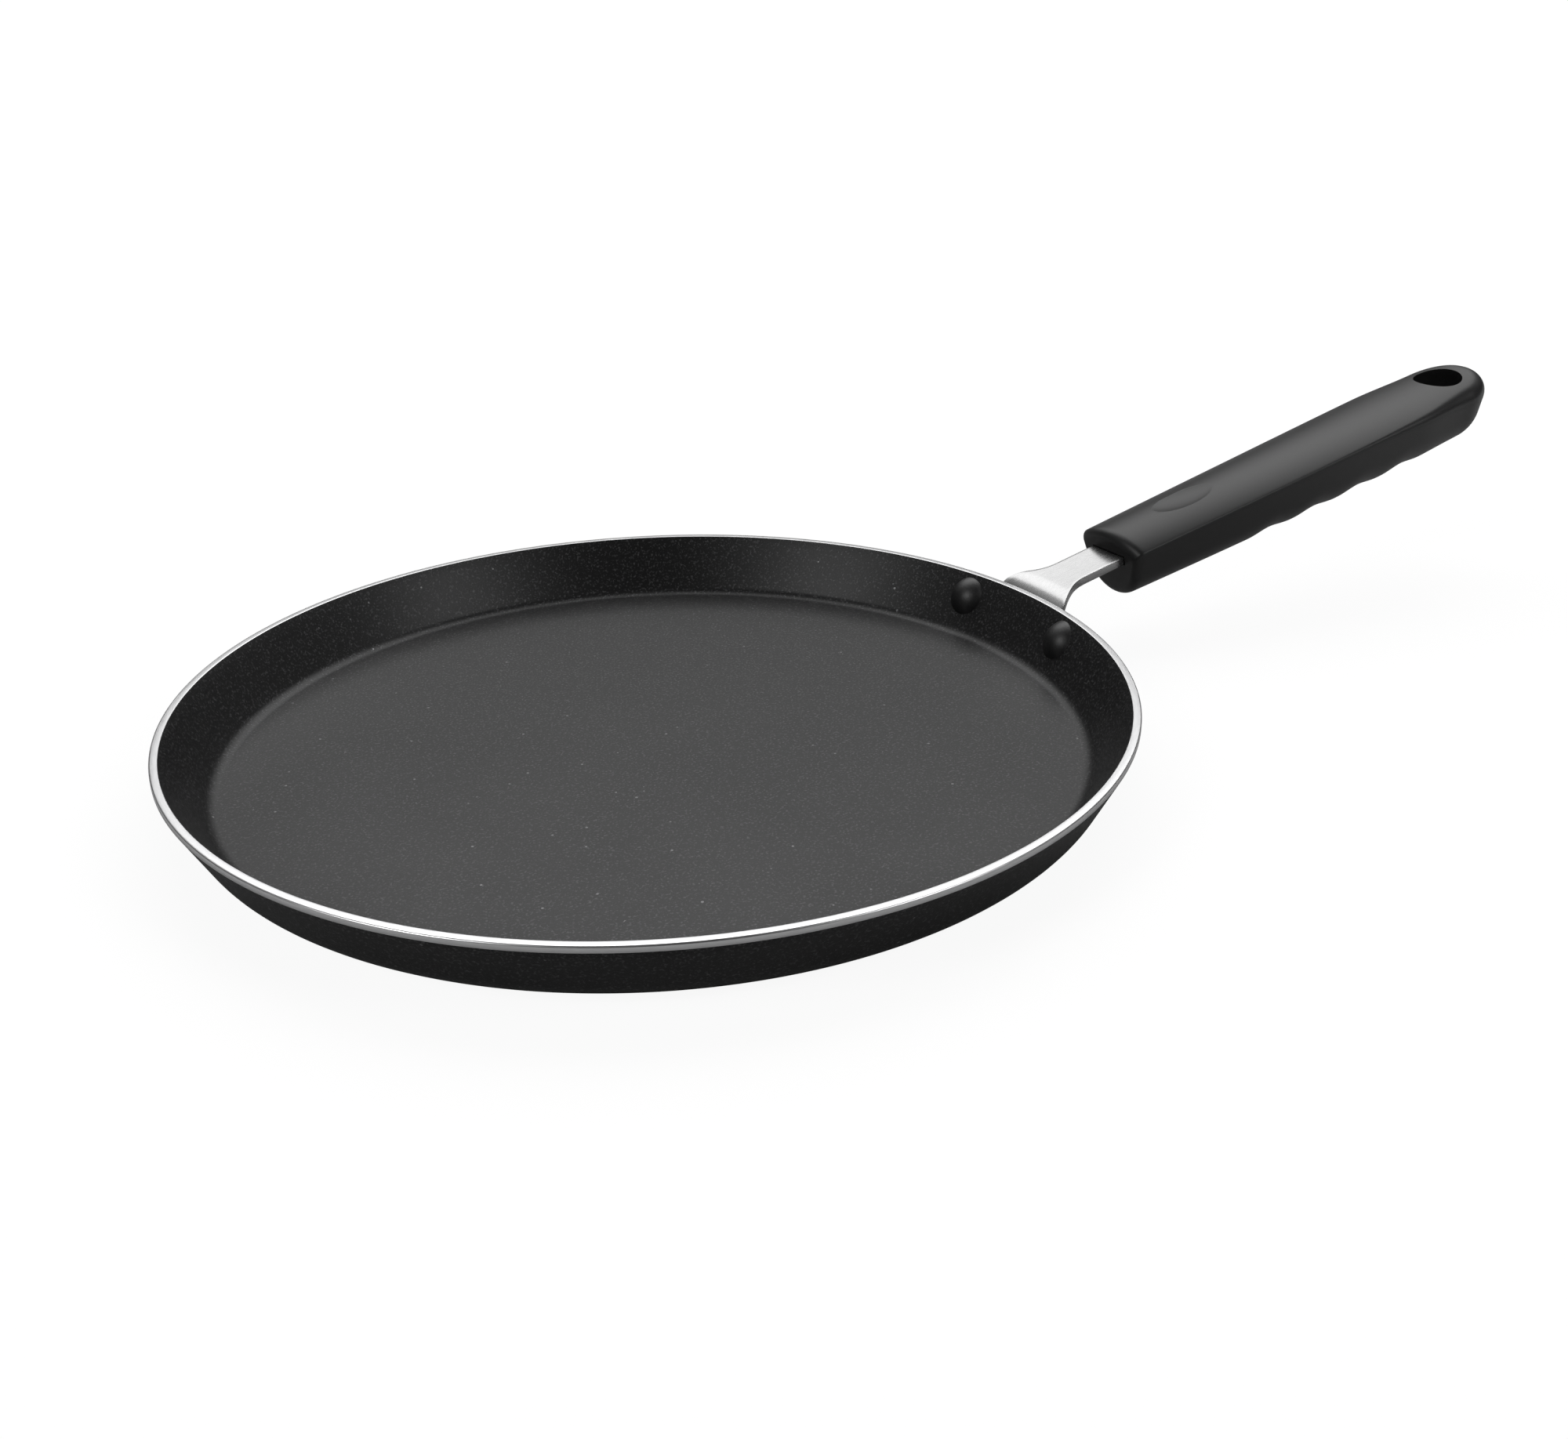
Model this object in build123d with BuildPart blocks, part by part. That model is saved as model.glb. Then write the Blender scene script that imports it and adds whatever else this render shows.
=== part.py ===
import os
from math import asin, atan, cos, degrees, pi, radians, sin, sqrt, tan

from build123d import *

os.makedirs("parts", exist_ok=True)

# All lengths are in millimetres. The origin is the middle of the pan's resting face, +X runs
# along the handle and +Z is up.

# Pan: a pressed aluminium dish with a bare turned lip
rim_radius = 130.0
pan_height = 19.8
lip_width = 2.3
lip_height = 1.6
lip_round = 0.5
outer_wall_angle = 62.5
inner_wall_angle = 59.0
floor_thickness = 3.2
floor_fillet = 4.0
base_corner_radius = 11.0

# Shallow rings turned into the resting face
ring_count = 8
first_ring_radius = 28.0
ring_pitch = 10.5
ring_width = 1.6
ring_depth = 0.35

# Gap left between pieces that are pressed or moulded together
seat_gap = 0.1

# Bracket: one steel strip, flanged against the wall and straight into the handle
plate_thickness = 2.5
bend_radius = 8.0
neck_clearance = 1.4
handle_rise_share = 0.2
neck_half_width = 7.1
neck_flare_start = 11.0
neck_flare_radius = 12.0
foot_half_width = 14.4
foot_reach = 0.5
foot_radius = 5.0
flange_half_width = 31.0
flange_drop = 1.4
flange_height = 12.4
flange_corner = 5.5
tang_length = 52.0
tang_corner = 2.5

# Rivets: domed inside the pan, upset flat on the flange
rivet_spacing = 44.4
rivet_height = 13.5
rivet_shank_radius = 2.9
rivet_hole_gap = 0.1
rivet_head_radius = 6.0
rivet_head_height = 3.0
rivet_tail_radius = 4.8
rivet_tail_top_radius = 3.4
rivet_tail_height = 1.7
rivet_tail_edge = 0.7

# Handle: a soft grip moulded over a stiff core
handle_start = 29.4
handle_length = 162.5
front_half_width = 13.6
widest_half_width = 16.45
tail_half_width = 14.9
taper_start = 121.6
front_depth = 17.2
belly_depth = 19.9
belly_place = 105.0
front_crown = 4.0
tail_crown = 3.1
side_draft = 17.0
front_round = 3.0
front_corner = 0.8
tail_corner = 5.0
corner_setback_share = 0.22
skin_thickness = 1.6
crease_over_neck = 2.16

# Finger grooves under the handle
groove_count = 4
groove_pitch = 19.8
groove_depth = 1.0
first_groove = 60.5

# Thumb hollow on top, and the hang hole through the tail
thumb_place = 31.5
thumb_half_length = 11.6
thumb_half_width = 6.8
thumb_depth = 1.1
thumb_bowl = 3.0
hang_half_length = 7.2
hang_half_width = 8.4

# Pocket for the tang, and the screw that holds it from below
slot_gap = 0.25
screw_place = 28.0
screw_radius = 2.5
screw_hole_gap = 0.15
screw_head_radius = 4.6
screw_head_height = 3.2
screw_head_round = 0.7
screw_seat_wall = 5.0
screw_recess_gap = 0.6
cross_width = 1.1
cross_length = 5.2
cross_depth = 1.8
washer_radius = 5.0
washer_thickness = 1.0

# How far a cutting shape passes the face that it cuts
overrun = 2.0

# Turn of the tail and how finely the handle's sections follow one another
half_turn_angle = 180
groove_section_count = 8
core_section_count = 12
front_section_count = 5

# Sizes worked out from the ones above
outer_slope = tan(radians(outer_wall_angle))
inner_slope = tan(radians(inner_wall_angle))
tilt = atan(handle_rise_share)
lip_bottom = pan_height - lip_height
inner_rim_radius = rim_radius - lip_width
neck_height = pan_height + neck_clearance
handle_front = rim_radius + handle_start
tang_end = handle_front + tang_length
flange_top = lip_bottom - flange_drop
flange_bottom = flange_top - flange_height
tail_crease = tail_half_width + corner_setback_share * tail_corner
tail_lean = tail_corner + (tail_corner - tail_crown) * sin(radians(side_draft))
tail_reach = tail_crease + tail_corner - tail_lean / cos(radians(side_draft))
straight_length = handle_length - tail_reach
hang_place = straight_length
screw_hole_radius = screw_radius + screw_hole_gap
recess_radius = washer_radius + screw_recess_gap


def outer_wall(height, offset=0):
    """Radius of the pan's outer wall at a height, or of a face that lies off it."""
    return rim_radius - (lip_bottom - height) / outer_slope + offset / sin(radians(outer_wall_angle))


def inner_wall(height, offset=0):
    """Radius of the pan's inner wall at a height, or of a face that lies inside it."""
    return inner_rim_radius - (pan_height - height) / inner_slope - offset / sin(radians(inner_wall_angle))


def neck_line(radius, offset=0):
    """Height of the neck's upper face away from the pan's axis, or of a face under it."""
    return neck_height + handle_rise_share * (radius - rim_radius) - offset / cos(tilt)


def bracket_corner(offset):
    """Where the flange's line meets the neck's line, both moved off by a thickness."""
    foot = outer_wall(0, seat_gap + offset)
    radius = (foot + neck_line(0, offset) / outer_slope) / (1 - handle_rise_share / outer_slope)
    return radius, neck_line(radius, offset)


def corner_at(sketch, x, y):
    """The sketch's corner nearest to a point."""
    return sketch.vertices().sort_by_distance((x, y))[0]


# The rivets sit square to the middle of the clamped stack, wall and flange together, so each wall
# leans a little from them, and the inner one also curves towards the head's edge
rivet_lean = radians((outer_wall_angle + inner_wall_angle) / 2)
wall_lean = radians(abs(outer_wall_angle - inner_wall_angle) / 2)
rivet_seat_radius = inner_wall(rivet_height)
rivet_turn = asin(rivet_spacing / 2 / rivet_seat_radius)
stack_width = outer_wall(rivet_height, seat_gap + plate_thickness) - rivet_seat_radius
stack_length = stack_width / (sin(rivet_lean) + cos(rivet_lean) / outer_slope)
head_base = seat_gap + rivet_head_radius**2 / (2 * rivet_seat_radius) + rivet_head_radius * sin(wall_lean)
tail_base = stack_length + seat_gap + rivet_tail_radius * sin(wall_lean)


def rivet_plane(side):
    """Plane on the pan's inner wall, with Z along the rivet and out of the pan."""
    turn = side * rivet_turn
    outward = Vector(cos(turn), sin(turn), 0)
    along = outward * sin(rivet_lean) - Vector(0, 0, cos(rivet_lean))
    place = outward * rivet_seat_radius + Vector(0, 0, rivet_height)
    return Plane(origin=place, x_dir=Vector(-sin(turn), cos(turn), 0), z_dir=along)


with BuildPart() as rivet_holes:
    for side in (-1, 1):
        with BuildSketch(rivet_plane(side).offset(-overrun)):
            Circle(rivet_shank_radius + rivet_hole_gap)
        extrude(amount=stack_length + 2 * overrun)

# Pan
with BuildPart() as pan_body:
    with BuildSketch(Plane.XZ) as dish:
        with BuildLine():
            Polyline(
                (0, 0),
                (outer_wall(0), 0),
                (rim_radius, lip_bottom),
                (rim_radius, pan_height),
                (inner_rim_radius, pan_height),
                (inner_wall(floor_thickness), floor_thickness),
                (0, floor_thickness),
                close=True,
            )
        make_face()
        fillet(corner_at(dish, outer_wall(0), 0), base_corner_radius)
        fillet(corner_at(dish, inner_wall(floor_thickness), floor_thickness), floor_fillet)
        fillet(corner_at(dish, rim_radius, pan_height), lip_round)
    revolve(axis=Axis.Z)
    for ring in range(ring_count):
        ring_radius = first_ring_radius + ring * ring_pitch
        with BuildSketch():
            Circle(ring_radius + ring_width / 2)
            Circle(ring_radius - ring_width / 2, mode=Mode.SUBTRACT)
        extrude(amount=ring_depth, mode=Mode.SUBTRACT)
    add(rivet_holes.part, mode=Mode.SUBTRACT)
pan_body.part.label = "pan_body"
export_step(pan_body.part, "parts/pan_body.step")

# Rivets
for name, side in (("rivet_near", -1), ("rivet_far", 1)):
    plane = rivet_plane(side)
    with BuildPart() as rivet:
        with BuildSketch(Plane(origin=plane.origin, x_dir=plane.x_dir, z_dir=-plane.y_dir)):
            with BuildLine():
                head_edge = (rivet_head_radius, -head_base)
                TangentArc((0, -head_base - rivet_head_height), head_edge, tangent=(1, 0))
                Polyline(
                    head_edge,
                    (rivet_shank_radius, -head_base),
                    (rivet_shank_radius, tail_base),
                    (rivet_tail_radius, tail_base),
                    (rivet_tail_radius, tail_base + rivet_tail_edge),
                    (rivet_tail_top_radius, tail_base + rivet_tail_height),
                    (0, tail_base + rivet_tail_height),
                    (0, -head_base - rivet_head_height),
                )
            make_face()
        revolve(axis=Axis(plane.origin, plane.z_dir))
    rivet.part.label = name
    export_step(rivet.part, f"parts/{name}.step")

# Handle's own frame: its X runs up the handle from the front face, its Z stands on the crease plane
handle_plane = Plane(
    origin=(handle_front, 0, neck_line(handle_front, -crease_over_neck)),
    x_dir=(cos(tilt), 0, sin(tilt)),
    z_dir=(-sin(tilt), 0, cos(tilt)),
)


def plane_across(place):
    """Plane across the handle at a distance from its front face."""
    origin = handle_plane.from_local_coords((place, 0, 0))
    return Plane(origin=origin, x_dir=(0, 1, 0), z_dir=handle_plane.x_dir)


def plane_along(place, height):
    """Plane parallel to the crease plane at a distance from the front face."""
    origin = handle_plane.from_local_coords((place, 0, height))
    return Plane(origin=origin, x_dir=handle_plane.x_dir, z_dir=handle_plane.z_dir)


# Heights in the handle's frame
tang_top = -crease_over_neck
tang_bottom = tang_top - plate_thickness
screw_seat = tang_bottom - slot_gap - screw_seat_wall
washer_face = screw_seat - washer_thickness
below_handle = -belly_depth - overrun
above_handle = front_crown + overrun

# Bracket
with BuildPart() as bracket_outline:
    foot_x = rim_radius + foot_reach
    flare_x = rim_radius + neck_flare_start
    back_x = sqrt(outer_wall(0) ** 2 - flange_half_width**2)
    with BuildSketch(Plane.XY.offset(flange_bottom + flange_corner)) as neck_plan:
        with BuildLine():
            Polyline(
                (back_x, -foot_half_width),
                (foot_x, -foot_half_width),
                (flare_x, -neck_half_width),
                (tang_end, -neck_half_width),
                (tang_end, neck_half_width),
                (flare_x, neck_half_width),
                (foot_x, foot_half_width),
                (back_x, foot_half_width),
                close=True,
            )
        make_face()
        for side in (-1, 1):
            fillet(corner_at(neck_plan, foot_x, side * foot_half_width), foot_radius)
            fillet(corner_at(neck_plan, flare_x, side * neck_half_width), neck_flare_radius)
            fillet(corner_at(neck_plan, tang_end, side * neck_half_width), tang_corner)
    extrude(amount=neck_line(tang_end))
    with BuildSketch(Plane.YZ.offset(back_x)):
        with Locations((0, (flange_top + flange_bottom) / 2)):
            RectangleRounded(2 * flange_half_width, flange_height, flange_corner)
    extrude(amount=bracket_corner(plate_thickness)[0] - back_x)

blank_turn = degrees(asin((flange_half_width + overrun) / outer_wall(0)))
with BuildPart() as handle_bracket:
    blank_end = tang_end + overrun
    upper_corner = bracket_corner(0)
    lower_corner = bracket_corner(plate_thickness)
    with BuildSketch(Plane.XZ.rotated((0, 0, -blank_turn))) as strip:
        with BuildLine():
            Polyline(
                (outer_wall(0, seat_gap), 0),
                upper_corner,
                (blank_end, neck_line(blank_end)),
                (blank_end, neck_line(blank_end, plate_thickness)),
                lower_corner,
                (outer_wall(0, seat_gap + plate_thickness), 0),
                close=True,
            )
        make_face()
        fillet(corner_at(strip, *upper_corner), bend_radius + plate_thickness)
        fillet(corner_at(strip, *lower_corner), bend_radius)
    revolve(axis=Axis.Z, revolution_arc=2 * blank_turn)
    add(bracket_outline.part, mode=Mode.INTERSECT)
    add(rivet_holes.part, mode=Mode.SUBTRACT)
    with BuildSketch(plane_along(screw_place, below_handle)):
        Circle(screw_hole_radius)
    extrude(amount=above_handle - below_handle, mode=Mode.SUBTRACT)
handle_bracket.part.label = "handle_bracket"
export_step(handle_bracket.part, "parts/handle_bracket.step")


def crown_at(place):
    """Height of the crowned top over the creases."""
    return front_crown + (tail_crown - front_crown) * place / straight_length


def crease_at(place):
    """Half width of the top where its creases would be, were they sharp. It tapers into the tail."""
    width = front_half_width + (widest_half_width - front_half_width) * place / straight_length
    taper = max(0, (place - taper_start) / (straight_length - taper_start))
    width -= (widest_half_width - tail_half_width) * (1 - cos(pi * taper)) / 2
    return width + corner_setback_share * corner_radius_at(place)


def corner_radius_at(place):
    """Radius of the crease, crisp along the handle and soft round the tail."""
    return front_corner + (tail_corner - front_corner) * (place / straight_length) ** 5


def belly_at(place):
    """Depth of the handle under the crease plane, without the finger grooves."""
    return front_depth + (belly_depth - front_depth) * sin(pi / 2 * place / belly_place)


def groove_at(place):
    """How deep the finger grooves are at a place: each is one wave of a cosine."""
    waves = (place - first_groove) / groove_pitch + 1 / 2
    return groove_depth * (1 - cos(2 * pi * waves)) / 2 if 0 < waves < groove_count else 0


def half_outline(place, inset, depth):
    """Crease, end of the leaning side and bottom of the belly, in a plane across the handle."""
    draft = radians(side_draft)
    half_width = crease_at(place) - inset
    height = depth - 2 * inset
    belly_centre = (height - half_width * cos(draft)) / (1 - sin(draft))
    belly_radius = height - belly_centre
    side_end = (-belly_radius * cos(draft), -inset - belly_centre - belly_radius * sin(draft))
    return (-half_width, -inset), side_end, (0, -inset - height)


def draw_half_section(place, inset, depth, crown):
    """Half of the crowned top, a crease, a leaning side and half of the round belly."""
    crease, side_end, bottom = half_outline(place, inset, depth)
    top = (0, crown - inset)
    with BuildSketch(plane_across(place)) as section:
        with BuildLine():
            TangentArc(top, crease, tangent=(-1, 0))
            Line(crease, side_end)
            TangentArc(bottom, side_end, tangent=(-1, 0))
            Line(bottom, top)
        make_face()
        fillet(corner_at(section, *crease), corner_radius_at(place))
    return section.sketch


def tail_end(inset, depth, crown):
    """The tail: the side and belly turned half round its middle, under the straight crown."""
    crease, side_end, bottom = half_outline(straight_length, inset, depth)
    top = (0, crown - inset)
    raised = top[1] + overrun
    raised_edge = crease[0] - (raised - crease[1]) * tan(radians(side_draft))
    far_side = raised_edge - overrun
    with BuildPart() as tail:
        with BuildSketch(plane_across(straight_length)) as profile:
            with BuildLine():
                Line((raised_edge, raised), side_end)
                TangentArc(bottom, side_end, tangent=(-1, 0))
                Polyline(bottom, (0, raised), (raised_edge, raised))
            make_face()
        extrude(amount=-overrun)
        mirror(about=Plane.XZ)
        tail_axis = Axis(plane_across(straight_length).origin, handle_plane.z_dir)
        revolve(profiles=profile.sketch, axis=tail_axis, revolution_arc=half_turn_angle)
        with BuildSketch(plane_across(straight_length - 2 * overrun)):
            with BuildLine():
                ThreePointArc(crease, top, (-crease[0], crease[1]))
                Polyline(
                    (-crease[0], crease[1]),
                    (-far_side, crease[1]),
                    (-far_side, raised + overrun),
                    (far_side, raised + overrun),
                    (far_side, crease[1]),
                    crease,
                )
            make_face()
        extrude(amount=2 * overrun - far_side, mode=Mode.SUBTRACT)
        crown_face = tail.faces().sort_by(Axis(handle_plane.origin, handle_plane.z_dir))[-1]
        rim = crown_face.edges().sort_by(Axis(handle_plane.origin, handle_plane.x_dir))[1:]
        fillet(rim, corner_radius_at(straight_length))
        split(bisect_by=plane_across(straight_length), keep=Keep.TOP)
    return tail.part


def places_along(inset, steps):
    """Where the sections stand, close together over the rounded front end."""
    rounding = front_round - inset
    turns = [pi / 2 * step / front_section_count for step in range(front_section_count)]
    places = [inset + rounding * (1 - cos(turn)) for turn in turns]
    first = inset + rounding
    return places + [first + (straight_length - first) * step / steps for step in range(steps + 1)]


def handle_body(inset, steps, grooved):
    """The handle's outer shape, or the same shape moved inwards without its grooves and hollow."""
    rounding = front_round - inset
    sections = []
    for place in places_along(inset, steps):
        short = max(0, rounding - (place - inset))
        inward = inset + rounding - sqrt(rounding**2 - short**2)
        depth = belly_at(place) - (groove_at(place) if grooved else groove_depth)
        crown = crown_at(place) - (0 if grooved else thumb_depth)
        sections.append(draw_half_section(place, inward, depth, crown))
    tail = tail_end(inset, depth, crown)
    with BuildPart() as body:
        loft(sections=sections[: front_section_count + 1], ruled=True)
        loft(sections=sections[front_section_count:])
        mirror(about=Plane.XZ)
        add(tail)
    return body.part


def bore(radius, start, end):
    """A round prism on the screw's line, from one height in the handle's frame to another."""
    with BuildPart() as prism:
        with BuildSketch(plane_along(screw_place, start)):
            Circle(radius)
        extrude(amount=end - start)
    return prism.part


def hang_hole(lining):
    """The hang hole through the tail, or the same oval with a lining round it."""
    with BuildPart() as prism:
        with BuildSketch(plane_along(hang_place, below_handle)):
            Ellipse(hang_half_length + lining, hang_half_width + lining)
        extrude(amount=above_handle - below_handle)
    return prism.part


def tang_slot(start, end):
    """The space that the tang slides into, along the handle from one place to another."""
    with BuildPart() as slot:
        with BuildSketch(plane_across(start)):
            with Locations((0, (tang_top + tang_bottom) / 2)):
                Rectangle(2 * (neck_half_width + slot_gap), plate_thickness + 2 * slot_gap)
        extrude(amount=end - start)
    return slot.part


# Scoop for the thumb: a flattened ball that meets the crowned top in the hollow's oval outline
scoop_height = crown_at(thumb_place) + thumb_bowl - thumb_depth
scoop_reach = sqrt(1 - ((thumb_bowl - thumb_depth) / thumb_bowl) ** 2)
with BuildPart() as thumb_scoop:
    Sphere(thumb_bowl)
    bowl_reach = thumb_bowl * scoop_reach
    scale(by=(thumb_half_length / bowl_reach, thumb_half_width / bowl_reach, 1))

# Handle grip: the soft outer skin, with a lining in the hang hole
with BuildPart() as handle_grip:
    inner_inset = skin_thickness - seat_gap
    groove_steps = round(straight_length / groove_pitch * groove_section_count)
    add(handle_body(0, groove_steps, True))
    with Locations(plane_along(thumb_place, scoop_height)):
        add(thumb_scoop.part, mode=Mode.SUBTRACT)
    cavity = handle_body(inner_inset, core_section_count, False) - hang_hole(inner_inset)
    add(cavity + tang_slot(-overrun, skin_thickness + overrun), mode=Mode.SUBTRACT)
    add(hang_hole(0), mode=Mode.SUBTRACT)
    add(bore(recess_radius, below_handle, screw_seat), mode=Mode.SUBTRACT)
handle_grip.part.label = "handle_grip"
export_step(handle_grip.part, "parts/handle_grip.step")

# Handle core: the stiff moulding that holds the tang
with BuildPart() as handle_core:
    add(handle_body(skin_thickness, core_section_count, False))
    add(hang_hole(skin_thickness), mode=Mode.SUBTRACT)
    add(tang_slot(0, tang_length / cos(tilt) + slot_gap), mode=Mode.SUBTRACT)
    add(bore(screw_hole_radius, screw_seat, tang_bottom), mode=Mode.SUBTRACT)
    add(bore(recess_radius, below_handle, screw_seat), mode=Mode.SUBTRACT)
handle_core.part.label = "handle_core"
export_step(handle_core.part, "parts/handle_core.step")

# Washer
with BuildPart() as screw_washer:
    with BuildSketch(plane_along(screw_place, washer_face)):
        Circle(washer_radius)
        Circle(screw_hole_radius, mode=Mode.SUBTRACT)
    extrude(amount=washer_thickness)
screw_washer.part.label = "screw_washer"
export_step(screw_washer.part, "parts/screw_washer.step")

# Fixing screw: pan head below, its end flush with the top of the tang
with BuildPart() as fixing_screw:
    with BuildSketch(plane_along(screw_place, washer_face)):
        Circle(screw_head_radius)
    extrude(amount=-screw_head_height)
    head_rim = fixing_screw.edges().sort_by(Axis(handle_plane.origin, handle_plane.z_dir))[0]
    fillet(head_rim, screw_head_round)
    with BuildSketch(plane_along(screw_place, washer_face - screw_head_height)):
        Rectangle(cross_length, cross_width)
        Rectangle(cross_width, cross_length)
    extrude(amount=cross_depth, mode=Mode.SUBTRACT)
    with BuildSketch(plane_along(screw_place, washer_face)):
        Circle(screw_radius)
    extrude(amount=tang_top - washer_face)
fixing_screw.part.label = "fixing_screw"
export_step(fixing_screw.part, "parts/fixing_screw.step")
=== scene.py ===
import math

import bmesh
import bpy
from mathutils import Matrix, Vector


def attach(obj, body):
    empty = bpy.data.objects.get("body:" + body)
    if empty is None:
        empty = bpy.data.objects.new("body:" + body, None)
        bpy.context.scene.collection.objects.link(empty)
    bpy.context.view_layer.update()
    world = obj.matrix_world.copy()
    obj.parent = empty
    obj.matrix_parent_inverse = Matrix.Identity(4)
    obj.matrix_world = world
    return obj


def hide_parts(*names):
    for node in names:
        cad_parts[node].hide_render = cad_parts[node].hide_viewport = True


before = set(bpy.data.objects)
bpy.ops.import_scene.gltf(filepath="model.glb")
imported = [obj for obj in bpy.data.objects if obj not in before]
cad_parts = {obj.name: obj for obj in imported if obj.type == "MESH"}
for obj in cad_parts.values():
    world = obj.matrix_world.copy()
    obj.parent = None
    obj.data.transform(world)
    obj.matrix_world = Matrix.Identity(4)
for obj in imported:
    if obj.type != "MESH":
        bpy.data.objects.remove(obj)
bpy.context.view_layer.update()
mm = 0.001  # every size below is in millimetres, and every texture scale is per metre
print("frame loaded:", len(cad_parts), "nodes")


def linkObject(name, data):
    made = bpy.data.objects.new(name, data)
    bpy.context.scene.collection.objects.link(made)
    return made


# Camera, at the photograph's place: its turn round the pan, and the pan's place in its view
cameraSet = {
    "azimuth": -30.65, "elevation": 24.70, "roll": -1.405,
    "right": -35.15, "up": -9.76, "distance": 481.41,
    "focalLength": 40.17, "sensorWidth": 36.0, "clipNear": 10.0, "clipFar": 60000.0,
}


def placeCamera(size):
    turn, lift, roll = (math.radians(size[key]) for key in ("azimuth", "elevation", "roll"))
    back = Vector((math.sin(turn) * math.cos(lift), -math.cos(turn) * math.cos(lift), math.sin(lift)))
    level = (-back).cross(Vector((0, 0, 1))).normalized()
    upright = level.cross(-back)
    right = math.cos(roll) * level + math.sin(roll) * upright
    up = math.cos(roll) * upright - math.sin(roll) * level
    camera = linkObject("camera", bpy.data.cameras.new("camera"))
    camera.data.lens, camera.data.sensor_width = size["focalLength"], size["sensorWidth"]
    camera.data.clip_start, camera.data.clip_end = size["clipNear"] * mm, size["clipFar"] * mm
    place = (size["distance"] * back - size["right"] * right - size["up"] * up) * mm
    turned = Matrix((right, up, back)).transposed().to_4x4()
    camera.matrix_world = Matrix.Translation(place) @ turned
    bpy.context.scene.camera = camera
    return -back


viewLine = placeCamera(cameraSet)
bpy.context.scene.view_settings.view_transform = "Standard"


# Node helpers
def addNode(tree, kind, values=None, **settings):
    node = tree.nodes.new(kind)
    for name, value in settings.items():
        setattr(node, name, value)
    for key, value in (values or {}).items():
        if isinstance(value, bpy.types.NodeSocket):
            tree.links.new(value, node.inputs[key])
        else:
            node.inputs[key].default_value = value
    return node


def addMath(tree, operation, first, second=0.0, clamp=False):
    return addNode(tree, "ShaderNodeMath", {0: first, 1: second}, operation=operation, use_clamp=clamp).outputs[0]


def addNoise(tree, place, scale, detail):
    return addNode(tree, "ShaderNodeTexNoise", {"Vector": place, "Scale": scale, "Detail": detail}).outputs[0]


def splitPlace(tree, place):
    return addNode(tree, "ShaderNodeSeparateXYZ", {0: place}).outputs


def joinPlace(tree, *parts):
    return addNode(tree, "ShaderNodeCombineXYZ", dict(enumerate(parts))).outputs[0]


def measure(tree, operation, *places):
    return addNode(tree, "ShaderNodeVectorMath", dict(enumerate(places)), operation=operation).outputs["Value"]


def mixValues(tree, mask, first, second):
    return addNode(tree, "ShaderNodeMix", {0: mask, 2: first, 3: second}, data_type="FLOAT").outputs[0]


def spread(tree, mask, low, high):
    return addNode(tree, "ShaderNodeMapRange", {"Value": mask, "To Min": low, "To Max": high}).outputs["Result"]


def softStep(tree, value, low, high):
    values = {"Value": value, "From Min": low, "From Max": high}
    return addNode(tree, "ShaderNodeMapRange", values, interpolation_type="SMOOTHSTEP").outputs["Result"]


def blendColours(tree, mask, dark, light):
    ends = [end if isinstance(end, bpy.types.NodeSocket) else (*end, 1.0) for end in (dark, light)]
    return addNode(tree, "ShaderNodeMix", {0: mask, 6: ends[0], 7: ends[1]}, data_type="RGBA").outputs[2]


def newMaterial(name, values):
    material = bpy.data.materials.new(name)
    material.use_nodes = True
    shader = material.node_tree.nodes["Principled BSDF"]
    for key, value in values.items():
        shader.inputs[key].default_value = value
    return material, material.node_tree, shader


def newGroup(name, inputs, outputs):
    group = bpy.data.node_groups.new(name, "ShaderNodeTree")
    for socket, value in inputs.items():
        made = group.interface.new_socket(socket, in_out="INPUT", socket_type="NodeSocketFloat")
        made.default_value = value
    for socket in outputs:
        group.interface.new_socket(socket, in_out="OUTPUT", socket_type="NodeSocketFloat")
    return group, group.nodes.new("NodeGroupInput").outputs, group.nodes.new("NodeGroupOutput").inputs


# Shader groups: fine grain with sparkles for the coating and the grip, and brushed or turned lines
grainSet = {
    "inputs": {"Grain Scale": 1800.0, "Patch Scale": 18.0, "Sparkle Scale": 900.0, "Sparkle Share": 0.02},
    "detail": 3.0, "patchDetail": 4.0, "speckRange": (0.54, 0.7), "sparkleReach": 0.35,
}
linesSet = {"inputs": {"Across Scale": 2200.0, "Along Scale": 25.0, "Turned": 0.0}, "detail": 3.0}


def makeGrainGroup(size):
    group, given, result = newGroup("fineGrain", size["inputs"], ("Grain", "Specks", "Patches", "Sparkle"))
    place = addNode(group, "ShaderNodeTexCoord").outputs["Object"]
    grain = addNoise(group, place, given["Grain Scale"], size["detail"])
    low, high = size["speckRange"]
    specks = addNode(group, "ShaderNodeMapRange", {"Value": grain, "From Min": low, "From Max": high})
    patches = addNoise(group, place, given["Patch Scale"], size["patchDetail"])
    cells = addNode(group, "ShaderNodeTexVoronoi", {"Vector": place, "Scale": given["Sparkle Scale"]}).outputs
    chosen = addMath(group, "LESS_THAN", cells["Color"], given["Sparkle Share"])
    near = addMath(group, "LESS_THAN", cells["Distance"], size["sparkleReach"])
    group.links.new(grain, result["Grain"])
    group.links.new(specks.outputs["Result"], result["Specks"])
    group.links.new(patches, result["Patches"])
    group.links.new(addMath(group, "MULTIPLY", chosen, near), result["Sparkle"])
    return group


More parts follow.
